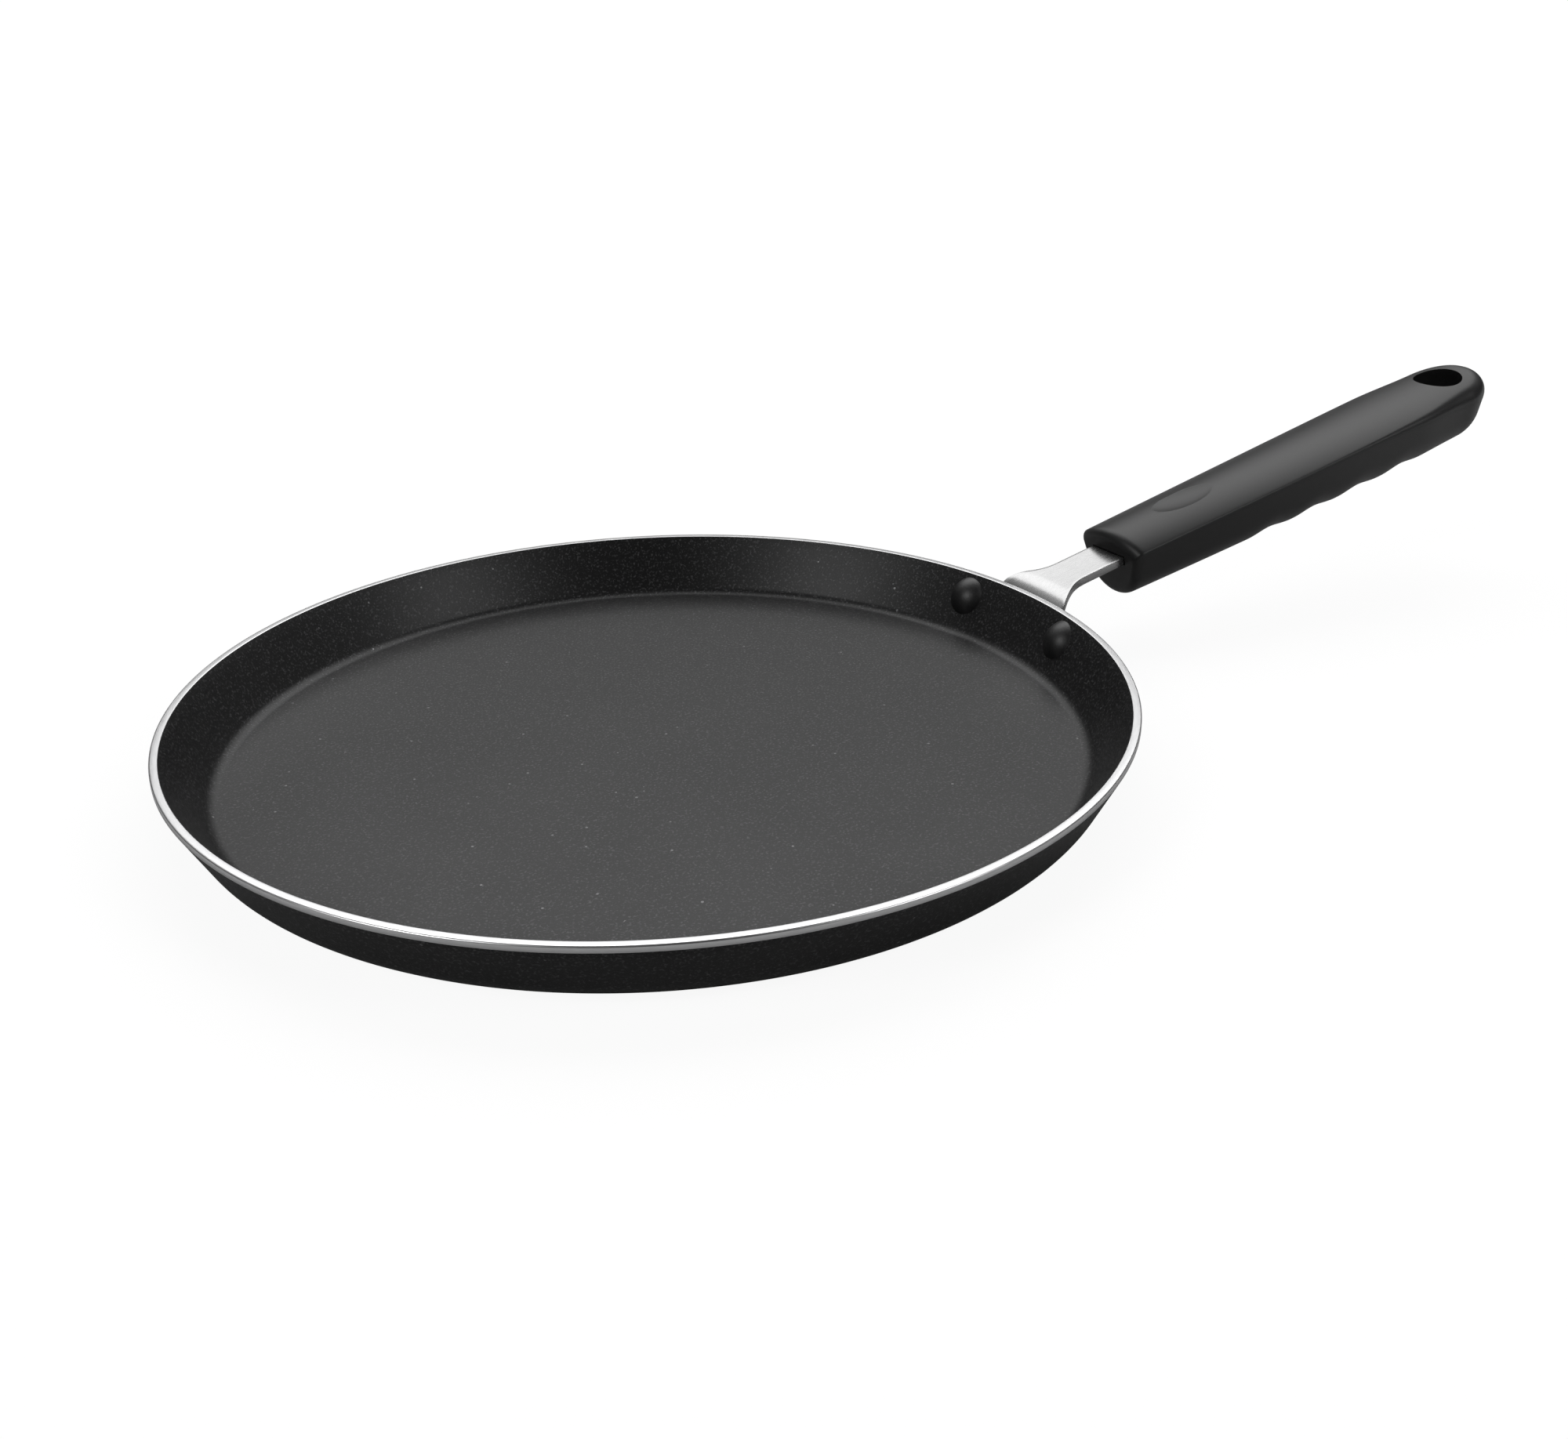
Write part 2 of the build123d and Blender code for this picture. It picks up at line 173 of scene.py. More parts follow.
def makeLinesGroup(size):
    # straight lines along X, or turned ones round the upright axis
    group, given, result = newGroup("fineLines", size["inputs"], ("Lines",))
    parts = splitPlace(group, addNode(group, "ShaderNodeTexCoord").outputs["Object"])
    reach = measure(group, "LENGTH", joinPlace(group, parts[0], parts[1]))
    angle = addMath(group, "ARCTAN2", parts[1], parts[0])
    along = mixValues(group, given["Turned"], parts[0], angle)
    across = mixValues(group, given["Turned"], parts[1], reach)
    drawn = joinPlace(
        group,
        addMath(group, "MULTIPLY", along, given["Along Scale"]),
        addMath(group, "MULTIPLY", across, given["Across Scale"]),
        addMath(group, "MULTIPLY", parts[2], given["Across Scale"]),
    )
    group.links.new(addNoise(group, drawn, 1.0, size["detail"]), result["Lines"])
    return group


grainGroup = makeGrainGroup(grainSet)
linesGroup = makeLinesGroup(linesSet)


def placeGroup(tree, group, values):
    node = addNode(tree, "ShaderNodeGroup", node_tree=group)
    for key, value in values.items():
        node.inputs[key].default_value = value
    return node.outputs


def addBump(tree, shader, height, strength, distance):
    bump = addNode(tree, "ShaderNodeBump", {"Height": height, "Strength": strength, "Distance": distance * mm})
    tree.links.new(bump.outputs[0], shader.inputs["Normal"])


# Materials
coatingSet = {
    "dark": (0.0035, 0.0035, 0.0037), "light": (0.008, 0.008, 0.0084), "flake": (0.22, 0.22, 0.225),
    "flakeShare": 0.45, "sparkleShare": 0.06, "roughness": (0.32, 0.42), "patchRoughness": 0.14,
    "specular": 0.44, "grainStrength": 0.6, "grainHeight": 0.05, "grainScale": 1500.0,
}
rivetChange = {"flakeShare": 0.05, "sparkleShare": 0.0, "roughness": (0.36, 0.42), "specular": 0.75}


def makeCoating(name, size):
    # black, with bright flakes that show where a lamp is mirrored
    material, tree, shader = newMaterial(name, {"Specular IOR Level": size["specular"]})
    grain = placeGroup(tree, grainGroup, {"Grain Scale": size["grainScale"], "Sparkle Share": size["sparkleShare"]})
    black = blendColours(tree, grain["Patches"], size["dark"], size["light"])
    specks = addMath(tree, "MULTIPLY", grain["Specks"], size["flakeShare"])
    flakes = addMath(tree, "MAXIMUM", specks, grain["Sparkle"])
    tree.links.new(blendColours(tree, flakes, black, size["flake"]), shader.inputs["Base Color"])
    tree.links.new(flakes, shader.inputs["Metallic"])
    smooth = spread(tree, grain["Grain"], *size["roughness"])
    patches = spread(tree, grain["Patches"], 0.0, size["patchRoughness"])
    tree.links.new(addMath(tree, "ADD", smooth, patches), shader.inputs["Roughness"])
    addBump(tree, shader, grain["Grain"], size["grainStrength"], size["grainHeight"])
    return material


metalSet = {
    "lip": {
        "dark": (0.68, 0.68, 0.69), "light": (0.88, 0.88, 0.88),
        "roughness": (0.27, 0.36), "turned": 1.0, "lines": 0.08,
    },
    "strip": {
        "dark": (0.34, 0.34, 0.34), "light": (0.52, 0.52, 0.52),
        "roughness": (0.22, 0.3), "turned": 0.0, "lines": 0.06,
    },
    "plated": {
        "dark": (0.5, 0.5, 0.5), "light": (0.66, 0.66, 0.65),
        "roughness": (0.22, 0.34), "turned": 0.0, "lines": 0.3,
    },
}
lineHeight = 0.004


def makeMetal(name, size):
    material, tree, shader = newMaterial(name, {"Metallic": 1.0})
    lines = placeGroup(tree, linesGroup, {"Turned": size["turned"]})["Lines"]
    tree.links.new(blendColours(tree, lines, size["dark"], size["light"]), shader.inputs["Base Color"])
    tree.links.new(spread(tree, lines, *size["roughness"]), shader.inputs["Roughness"])
    addBump(tree, shader, lines, size["lines"], lineHeight)
    return material


gripLook = {
    "dark": (0.006, 0.006, 0.0062), "light": (0.01, 0.01, 0.0103), "roughness": (0.4, 0.48), "specular": 0.52,
    "grainStrength": 0.4, "grainHeight": 0.02, "grainScale": 2600.0, "patchScale": 30.0,
}
coreChange = {"dark": (0.012, 0.012, 0.012), "light": (0.018, 0.018, 0.018)}


def makeMoulding(name, size):
    material, tree, shader = newMaterial(name, {"Specular IOR Level": size["specular"]})
    grain = placeGroup(tree, grainGroup, {"Grain Scale": size["grainScale"], "Patch Scale": size["patchScale"]})
    tree.links.new(blendColours(tree, grain["Patches"], size["dark"], size["light"]), shader.inputs["Base Color"])
    tree.links.new(spread(tree, grain["Grain"], *size["roughness"]), shader.inputs["Roughness"])
    addBump(tree, shader, grain["Grain"], size["grainStrength"], size["grainHeight"])
    return material


coating = makeCoating("panCoating", coatingSet)
rivetCoating = makeCoating("rivetCoating", {**coatingSet, **rivetChange})
lipMetal = makeMetal("turnedLip", metalSet["lip"])
stripMetal = makeMetal("brushedStrip", metalSet["strip"])
platedMetal = makeMetal("platedScrew", metalSet["plated"])
gripSkin = makeMoulding("softGrip", gripLook)
coreMoulding = makeMoulding("stiffCore", {**gripLook, **coreChange})
print("materials made")


# Geometry Nodes: turn a profile round the upright axis, and set rivets on points
weldReach = 0.002  # points of a turned piece nearer than this are one


def newTree(name, inputs):
    tree = bpy.data.node_groups.new(name, "GeometryNodeTree")
    tree.interface.new_socket("Geometry", in_out="INPUT", socket_type="NodeSocketGeometry")
    for socket, kind in inputs.items():
        tree.interface.new_socket(socket, in_out="INPUT", socket_type=kind)
    tree.interface.new_socket("Geometry", in_out="OUTPUT", socket_type="NodeSocketGeometry")
    return tree, tree.nodes.new("NodeGroupInput").outputs, tree.nodes.new("NodeGroupOutput").inputs


def makeTurningTree():
    tree, given, result = newTree("turnProfile", {
        "Segments": "NodeSocketInt", "Bare From Height": "NodeSocketFloat", "Bare From Radius": "NodeSocketFloat",
        "Main": "NodeSocketMaterial", "Bare": "NodeSocketMaterial",
    })
    # a unit grid, whose rows are the profile's points and whose columns go once round
    profile = given["Geometry"]
    count = addNode(tree, "GeometryNodeAttributeDomainSize", {0: profile}).outputs["Point Count"]
    columns = addMath(tree, "ADD", given["Segments"], 1.0)
    grid = addNode(tree, "GeometryNodeMeshGrid", {0: 1.0, 1: 1.0, 2: columns, 3: count})
    position = addNode(tree, "GeometryNodeInputPosition").outputs[0]
    parts = splitPlace(tree, position)
    step = addMath(tree, "MULTIPLY", addMath(tree, "ADD", parts[1], 0.5), addMath(tree, "SUBTRACT", count, 1.0))
    sampled = addNode(
        tree, "GeometryNodeSampleIndex",
        {"Geometry": profile, "Value": position, "Index": addMath(tree, "ROUND", step)},
        data_type="FLOAT_VECTOR",
    )
    point = splitPlace(tree, sampled.outputs[0])
    angle = addMath(tree, "MULTIPLY", addMath(tree, "ADD", parts[0], 0.5), math.tau)
    place = joinPlace(
        tree,
        addMath(tree, "MULTIPLY", point[0], addMath(tree, "COSINE", angle)),
        addMath(tree, "MULTIPLY", point[0], addMath(tree, "SINE", angle)),
        point[2],
    )
    turned = addNode(tree, "GeometryNodeSetPosition", {"Geometry": grid.outputs[0], "Position": place})
    closed = addNode(tree, "GeometryNodeMergeByDistance", {"Geometry": turned.outputs[0], "Distance": weldReach * mm})
    real = addNode(tree, "GeometryNodeRealizeInstances", {0: closed.outputs[0]})
    # the lip is bare above one height and outside one radius
    reach = measure(tree, "LENGTH", joinPlace(tree, parts[0], parts[1]))
    isBare = addMath(
        tree, "MULTIPLY",
        addMath(tree, "GREATER_THAN", parts[2], given["Bare From Height"]),
        addMath(tree, "GREATER_THAN", reach, given["Bare From Radius"]),
    )
    main = addNode(tree, "GeometryNodeSetMaterial", {"Geometry": real.outputs[0], "Material": given["Main"]})
    bare = addNode(tree, "GeometryNodeSetMaterial", {
        "Geometry": main.outputs[0], "Selection": isBare, "Material": given["Bare"],
    })
    tree.links.new(bare.outputs[0], result[0])
    return tree


def makeRivetTree():
    tree, given, result = newTree("setRivets", {"Rivet": "NodeSocketObject", "Finish": "NodeSocketMaterial"})
    along = addNode(tree, "GeometryNodeInputNamedAttribute", {"Name": "along"}, data_type="FLOAT_VECTOR")
    turn = addNode(tree, "FunctionNodeAlignRotationToVector", {"Vector": along.outputs[0]}, axis="Z")
    rivet = addNode(tree, "GeometryNodeObjectInfo", {"Object": given["Rivet"]})
    placed = addNode(tree, "GeometryNodeInstanceOnPoints", {
        "Points": given["Geometry"], "Instance": rivet.outputs["Geometry"], "Rotation": turn.outputs[0],
    })
    real = addNode(tree, "GeometryNodeRealizeInstances", {0: placed.outputs[0]})
    finish = addNode(tree, "GeometryNodeSetMaterial", {"Geometry": real.outputs[0], "Material": given["Finish"]})
    tree.links.new(finish.outputs[0], result[0])
    return tree


def newObject(name, points, edges=(), faces=()):
    mesh = bpy.data.meshes.new(name)
    mesh.from_pydata([Vector(point) * mm for point in points], edges, faces)
    return linkObject(name, mesh)


def meshObject(name, work):
    mesh = bpy.data.meshes.new(name)
    work.to_mesh(mesh)
    work.free()
    return linkObject(name, mesh)


def settle(made):
    # the evaluated result becomes a plain mesh
    bpy.context.view_layer.update()
    evaluated = made.evaluated_get(bpy.context.evaluated_depsgraph_get())
    mesh = bpy.data.meshes.new_from_object(evaluated)
    made.modifiers.clear()
    made.data = mesh
    mesh.name = made.name


def runTree(made, tree, values):
    modifier = made.modifiers.new("nodes", "NODES")
    modifier.node_group = tree
    sockets = {item.name: item.identifier for item in tree.interface.items_tree if item.in_out == "INPUT"}
    for name, value in values.items():
        modifier[sockets[name]] = value
    settle(made)


def finishMesh(made, sharpAngle):
    work = bmesh.new()
    work.from_mesh(made.data)
    bmesh.ops.recalc_face_normals(work, faces=work.faces)
    work.to_mesh(made.data)
    work.free()
    made.data.shade_smooth()
    made.data.set_sharp_from_angle(angle=math.radians(sharpAngle))


turningTree = makeTurningTree()
nowhere = 1000.0  # a height and a radius past every piece


def turnObject(name, profile, segments, main, bare, bareHeight=nowhere, bareRadius=nowhere):
    made = newObject(name, profile, [(spot, spot + 1) for spot in range(len(profile) - 1)])
    runTree(made, turningTree, {
        "Segments": segments, "Bare From Height": bareHeight * mm, "Bare From Radius": bareRadius * mm,
        "Main": main, "Bare": bare,
    })
    return made


def arcPoints(centre, radius, start, end, steps):
    turns = [math.radians(start + (end - start) * step / steps) for step in range(steps + 1)]
    return [(centre[0] + radius * math.cos(turn), 0.0, centre[1] + radius * math.sin(turn)) for turn in turns]


def linePoints(first, last, steps):
    # the points between two others, without the two
    return [tuple(Vector(first).lerp(Vector(last), step / steps)) for step in range(1, steps)]


# Pan body
panSet = {
    "rimRadius": 130.0, "height": 19.8, "lipWidth": 2.3, "lipHeight": 1.6, "lipRound": 0.5, "lipInnerRound": 0.25,
    "outerAngle": 62.5, "innerAngle": 59.0, "floor": 3.2, "floorFillet": 4.0, "baseCorner": 11.0,
    "ringCount": 8, "firstRing": 28.0, "ringPitch": 10.5, "ringWidth": 1.6, "ringDepth": 0.35, "bareSlack": 0.02,
    "segments": 400, "cornerSteps": 14, "wallSteps": 5, "lipSteps": 6, "lipInnerSteps": 4, "filletSteps": 10,
    "floorShares": (0.85, 0.7, 0.55, 0.4, 0.25, 0.1), "sharpAngle": 38.0,
}


def outerWall(size, height, offset=0.0):
    angle = math.radians(size["outerAngle"])
    lipBottom = size["height"] - size["lipHeight"]
    return size["rimRadius"] - (lipBottom - height) / math.tan(angle) + offset / math.sin(angle)


def innerWall(size, height):
    rim = size["rimRadius"] - size["lipWidth"]
    return rim - (size["height"] - height) / math.tan(math.radians(size["innerAngle"]))


def panProfile(size):
    # from the middle of the resting face out and up the wall, over the lip and down to the floor's middle
    points = [(0.0, 0.0, 0.0)]
    halfWidth, depth = size["ringWidth"] / 2, size["ringDepth"]
    for ring in range(size["ringCount"]):
        middle = size["firstRing"] + ring * size["ringPitch"]
        points += [
            (middle - halfWidth, 0.0, 0.0), (middle - halfWidth + depth / 2, 0.0, depth),
            (middle + halfWidth - depth / 2, 0.0, depth), (middle + halfWidth, 0.0, 0.0),
        ]
    outer, inner = size["outerAngle"], size["innerAngle"]
    corner, fillet = size["baseCorner"], size["floorFillet"]
    baseStart = outerWall(size, 0.0) - corner * math.tan(math.radians(outer / 2))
    points += arcPoints((baseStart, corner), corner, -90, outer - 90, size["cornerSteps"])
    lipStart = (size["rimRadius"], 0.0, size["height"] - size["lipHeight"])
    points += linePoints(points[-1], lipStart, size["wallSteps"]) + [lipStart]
    edge, soft = size["lipRound"], size["lipInnerRound"]
    points += arcPoints((size["rimRadius"] - edge, size["height"] - edge), edge, 0, 90, size["lipSteps"])
    innerRim = size["rimRadius"] - size["lipWidth"]
    points += arcPoints((innerRim + soft, size["height"] - soft), soft, 90, 90 + inner, size["lipInnerSteps"])
    floorEnd = innerWall(size, size["floor"]) - fillet * math.tan(math.radians(inner / 2))
    wallEnd = arcPoints((floorEnd, size["floor"] + fillet), fillet, inner - 90, -90, size["filletSteps"])
    points += linePoints(points[-1], wallEnd[0], size["wallSteps"]) + wallEnd
    points += [(floorEnd * share, 0.0, size["floor"]) for share in size["floorShares"]]
    return points + [(0.0, 0.0, size["floor"])]


pan = turnObject(
    "panBody", panProfile(panSet), panSet["segments"], coating, lipMetal,
    panSet["height"] - panSet["lipHeight"] - panSet["bareSlack"],
    panSet["rimRadius"] - panSet["lipWidth"] - panSet["bareSlack"],
)
finishMesh(pan, panSet["sharpAngle"])
print("pan turned:", len(pan.data.polygons), "faces")


# Rivets: domed heads inside the pan, upset tails on the flange
seatSet = {"plate": 2.5, "gap": 0.1, "neckHalf": 7.1}  # the strip that the rivets and the grip hold
rivetSet = {
    "spacing": 44.4, "height": 13.5, "headRadius": 6.0, "headHeight": 3.0, "edgeBulge": 0.06, "edgeHeight": 0.05,
    "shankRadius": 2.9, "tailRadius": 4.8, "tailTop": 3.4, "tailHeight": 1.7, "tailEdge": 0.7, "sink": 0.3,
    "segments": 64, "domeSteps": 14, "sharpAngle": 40.0,
}
# a rivet stands square to the middle of the wall and the flange, from the seat on the inner wall
lean = math.radians((panSet["outerAngle"] + panSet["innerAngle"]) / 2)
seatRadius = innerWall(panSet, rivetSet["height"])
outside = outerWall(panSet, rivetSet["height"], seatSet["gap"] + seatSet["plate"])
stack = (outside - seatRadius) / (math.sin(lean) + math.cos(lean) / math.tan(math.radians(panSet["outerAngle"])))


def rivetProfile(size):
    head, tall, shank = size["headRadius"], size["headHeight"], size["shankRadius"]
    ball = (head**2 + tall**2) / (2 * tall)
    reach = math.degrees(math.asin(head / ball))
    base = stack + seatSet["gap"]
    return arcPoints((0.0, ball - tall), ball, -90, reach - 90, size["domeSteps"]) + [
        (head + size["edgeBulge"], 0.0, size["edgeHeight"]), (head, 0.0, size["sink"]),
        (shank, 0.0, size["sink"]), (shank, 0.0, base), (size["tailRadius"], 0.0, base),
        (size["tailRadius"], 0.0, base + size["tailEdge"]), (size["tailTop"], 0.0, base + size["tailHeight"]),
        (0.0, 0.0, base + size["tailHeight"]),
    ]


def setRivets(size):
    seats, lines = [], []
    for side in (-1, 1):
        turn = side * math.asin(size["spacing"] / 2 / seatRadius)
        outward = Vector((math.cos(turn), math.sin(turn), 0))
        seats.append(outward * seatRadius + Vector((0, 0, size["height"])))
        lines.append(outward * math.sin(lean) - Vector((0, 0, math.cos(lean))))
    made = newObject("rivets", seats)
    attribute = made.data.attributes.new("along", "FLOAT_VECTOR", "POINT")
    for point, line in zip(attribute.data, lines):
        point.vector = line
    pattern = turnObject("rivetPattern", rivetProfile(size), size["segments"], rivetCoating, rivetCoating)
    runTree(made, makeRivetTree(), {"Rivet": pattern, "Finish": rivetCoating})
    bpy.data.objects.remove(pattern)
    finishMesh(made, size["sharpAngle"])
    return made


rivets = setRivets(rivetSet)
print("rivets set:", len(rivets.data.polygons), "faces")


# Bracket: a strip drawn row by row from the flange over the bend and along the neck
stripSet = {
    "bend": 8.0, "neckClearance": 1.4, "rise": 0.2, "flareStart": 11.0, "flareRadius": 12.0,
    "footHalf": 14.4, "footReach": 0.5, "footRadius": 5.0, "outlineStart": 100.0,
    "flangeHalf": 31.0, "flangeDrop": 1.4, "flangeHeight": 12.4, "flangeCorner": 5.5,
    "tangEnd": 211.4, "tangCorner": 2.5, "edgeRound": 0.28, "bevelAngle": 50.0, "sharpAngle": 35.0,
    "flangeRows": 24, "bendSteps": 16, "neckRows": 40, "middleColumns": 8, "sideColumns": 6, "edgeSteps": 3,
}
flangeTop = panSet["height"] - panSet["lipHeight"] - stripSet["flangeDrop"]
flangeBottom = flangeTop - stripSet["flangeHeight"]


def neckHeight(size, radius, offset=0.0):
    tilt = math.atan(size["rise"])
    start = panSet["height"] + size["neckClearance"]
    return start + size["rise"] * (radius - panSet["rimRadius"]) - offset / math.cos(tilt)


def stripPath(size, offset):
    # the strip's line in radius and height, offset downwards and outwards from the seat
    wall, tilt = math.radians(panSet["outerAngle"]), math.atan(size["rise"])
    slope = math.tan(wall)
    foot = outerWall(panSet, 0.0, seatSet["gap"] + offset)
    cornerRadius = (foot + neckHeight(size, 0.0, offset) / slope) / (1 - size["rise"] / slope)
    corner = Vector((cornerRadius, neckHeight(size, cornerRadius, offset)))
    bend = size["bend"] + seatSet["plate"] - offset
    setback = bend * math.tan((wall - tilt) / 2)
    startTangent = corner - setback * Vector((math.cos(wall), math.sin(wall)))
    centre = startTangent + bend * Vector((math.sin(wall), -math.cos(wall)))
    points = []
    for row in range(size["flangeRows"] + 1):
        height = flangeBottom + size["flangeHeight"] * row / size["flangeRows"]
        points.append((outerWall(panSet, height, seatSet["gap"] + offset), height))
    for step in range(size["bendSteps"] + 1):
        turn = wall + (tilt - wall) * step / size["bendSteps"]
        points.append((centre.x - bend * math.sin(turn), centre.y + bend * math.cos(turn)))
    last = points[-1][0]
    for step in range(1, size["neckRows"] + 1):
        radius = last + (size["tangEnd"] - last) * step / size["neckRows"]
        points.append((radius, neckHeight(size, radius, offset)))
    return points


def cornerArc(before, corner, after, radius, steps=8):
    first = (Vector(before) - Vector(corner)).normalized()
    second = (Vector(after) - Vector(corner)).normalized()
    half = first.angle(second) / 2
    middle = Vector(corner) + (first + second).normalized() * radius / math.sin(half)
    start = Vector(corner) + first * radius / math.tan(half)
    end = Vector(corner) + second * radius / math.tan(half)
    sweep = (start - middle).angle_signed(end - middle)
    turns = [Matrix.Rotation(-sweep * step / steps, 2) for step in range(steps + 1)]
    return [tuple(middle + turn @ (start - middle)) for turn in turns]


def neckOutline(size):
    # half of the neck's outline from above, as (place on X, half width), with its corners rounded
    foot = (panSet["rimRadius"] + size["footReach"], size["footHalf"])
    flare = (panSet["rimRadius"] + size["flareStart"], seatSet["neckHalf"])
    start, end = (size["outlineStart"], size["footHalf"]), (size["tangEnd"], seatSet["neckHalf"])
    last = (size["tangEnd"], 0.0)
    return (
        [start] + cornerArc(start, foot, flare, size["footRadius"])
        + cornerArc(foot, flare, end, size["flareRadius"]) + cornerArc(flare, end, last, size["tangCorner"])
    )


def outlineHalf(outline, place):
    for (x0, y0), (x1, y1) in zip(outline, outline[1:]):
        if place <= x1:
            return y0 + (y1 - y0) * (place - x0) / (x1 - x0)
    return outline[-1][1]


def rowAcross(size, outline, radius, height, inFlange):
    # the places across the strip in one row: the neck's, and in the flange those beside it too
    half = size["footHalf"]
    if not inFlange:
        for _ in range(3):  # a row is an arc, so its half width and its place on X settle together
            half = outlineHalf(outline, math.sqrt(max(radius**2 - half**2, 0.0)))
    columns = size["middleColumns"]
    row = [half * column / columns for column in range(-columns, columns + 1)]
    if not inFlange:
        return row
    corner, away = size["flangeCorner"], min(height - flangeBottom, flangeTop - height)
    full = size["flangeHalf"] - corner + math.sqrt(max(corner**2 - max(corner - away, 0.0) ** 2, 0.0))
    columns = size["sideColumns"]
    side = [half + (full - half) * column / columns for column in range(1, columns + 1)]
    return [-across for across in reversed(side)] + row + side


def buildStrip(size):
    outline, beside = neckOutline(size), size["sideColumns"]
    work = bmesh.new()
    sheets = []
    for offset in (0.0, seatSet["plate"]):
        rows = []
        for index, (radius, height) in enumerate(stripPath(size, offset)):
            row = rowAcross(size, outline, radius, height, index <= size["flangeRows"])
            points = [(math.sqrt(radius**2 - across**2), across, height) for across in row]
            rows.append([work.verts.new(Vector(point) * mm) for point in points])
        sheets.append(rows)
        for first, second in zip(rows, rows[1:]):
            if len(first) != len(second):
                first = first[beside:-beside]
            for spot in range(len(first) - 1):
                work.faces.new((first[spot], first[spot + 1], second[spot + 1], second[spot]))
    twins = {upper: lower for rowA, rowB in zip(*sheets) for upper, lower in zip(rowA, rowB)}
    for edge in [edge for edge in work.edges if edge.is_boundary and edge.verts[0] in twins]:
        first, second = edge.verts
        work.faces.new((first, second, twins[second], twins[first]))
    bmesh.ops.recalc_face_normals(work, faces=work.faces)
    made = meshObject("handleBracket", work)
    made.data.materials.append(stripMetal)
    bevel = made.modifiers.new("edges", "BEVEL")
    bevel.width, bevel.segments, bevel.limit_method = size["edgeRound"] * mm, size["edgeSteps"], "ANGLE"
    bevel.angle_limit = math.radians(size["bevelAngle"])
    settle(made)
    finishMesh(made, size["sharpAngle"])
    return made


strip = buildStrip(stripSet)
print("bracket drawn:", len(strip.data.polygons), "faces")


# Handle grip: sections along the handle, a turned tail, and what is cut out of it
gripSet = {
    "start": 159.4, "overNeck": 2.16, "length": 162.5, "frontHalf": 13.6, "widestHalf": 16.45, "tailHalf": 14.9,
    "taperStart": 121.6, "frontDepth": 17.2, "bellyDepth": 19.9, "bellyPlace": 105.0,
    "frontCrown": 4.0, "tailCrown": 3.1, "draft": 17.0, "leastBow": 0.01,
    "frontRound": 3.0, "frontCorner": 0.8, "tailCorner": 5.0, "setbackShare": 0.22, "skin": 1.5,
    "grooveCount": 4, "groovePitch": 19.8, "grooveDepth": 1.0, "firstGroove": 60.5,
    "thumbPlace": 31.5, "thumbHalfLength": 11.6, "thumbHalfWidth": 6.8, "thumbDepth": 1.1, "thumbBowl": 3.0,
    "hangHalfLength": 7.2, "hangHalfWidth": 8.4,
    "slotGap": 0.25, "screwPlace": 28.0, "recessRadius": 5.6, "recessTop": -9.9, "overrun": 4.0,
    "crownSteps": 16, "creaseSteps": 10, "sideSteps": 6, "bellySteps": 14, "roundSteps": 8, "tailSteps": 48,
    "alongStep": 1.25, "cavityStep": 5.0, "ovalSteps": 72, "thumbSegments": 96, "thumbRings": 64, "sharpAngle": 42.0,
}
tilt = math.atan(stripSet["rise"])
alongHandle = Vector((math.cos(tilt), 0, math.sin(tilt)))
overHandle = Vector((-math.sin(tilt), 0, math.cos(tilt)))
creaseStart = Vector((
    gripSet["start"], 0, neckHeight(stripSet, gripSet["start"]) + gripSet["overNeck"] / math.cos(tilt)
))


def straightLength(size):
    # the tail turns round the straight part's end, and its tip stands back by the crease's rounding
    draft, corner = math.radians(size["draft"]), size["tailCorner"]
    crease = size["tailHalf"] + size["setbackShare"] * corner
    setback = corner + (corner - size["tailCrown"]) * math.sin(draft)
    return size["length"] - (crease + corner - setback / math.cos(draft))


straight = straightLength(gripSet)


def inHandle(along, across, height):
    return creaseStart + along * alongHandle + across * Vector((0, 1, 0)) + height * overHandle


def grooveAt(size, place):
    waves = (place - size["firstGroove"]) / size["groovePitch"] + 0.5
    inside = 0 < waves < size["grooveCount"]
    return size["grooveDepth"] * (1 - math.cos(math.tau * waves)) / 2 if inside else 0.0


def crownAt(size, place):
    return size["frontCrown"] + (size["tailCrown"] - size["frontCrown"]) * place / straight


def sectionSizes(size, place, plain):
    # half width at the crease, its rounding, the crown's height and the depth, at a place along the handle
    share = place / straight
    corner = size["frontCorner"] + (size["tailCorner"] - size["frontCorner"]) * share**5
    half = size["frontHalf"] + (size["widestHalf"] - size["frontHalf"]) * share + size["setbackShare"] * corner
    taper = max(0.0, (place - size["taperStart"]) / (straight - size["taperStart"]))
    half -= (size["widestHalf"] - size["tailHalf"]) * (1 - math.cos(math.pi * taper)) / 2
    depth = size["frontDepth"]
    depth += (size["bellyDepth"] - size["frontDepth"]) * math.sin(math.pi / 2 * place / size["bellyPlace"])
    if plain:
        return half, corner, crownAt(size, place) - size["thumbDepth"], depth - size["grooveDepth"]
    return half, corner, crownAt(size, place), depth - grooveAt(size, place)


def arcAround(centre, radius, start, end, steps):
    # points after the start, with angles from the upright towards the side
    angles = [start + (end - start) * step / steps for step in range(1, steps + 1)]
    return [centre + radius * Vector((math.sin(angle), math.cos(angle))) for angle in angles]


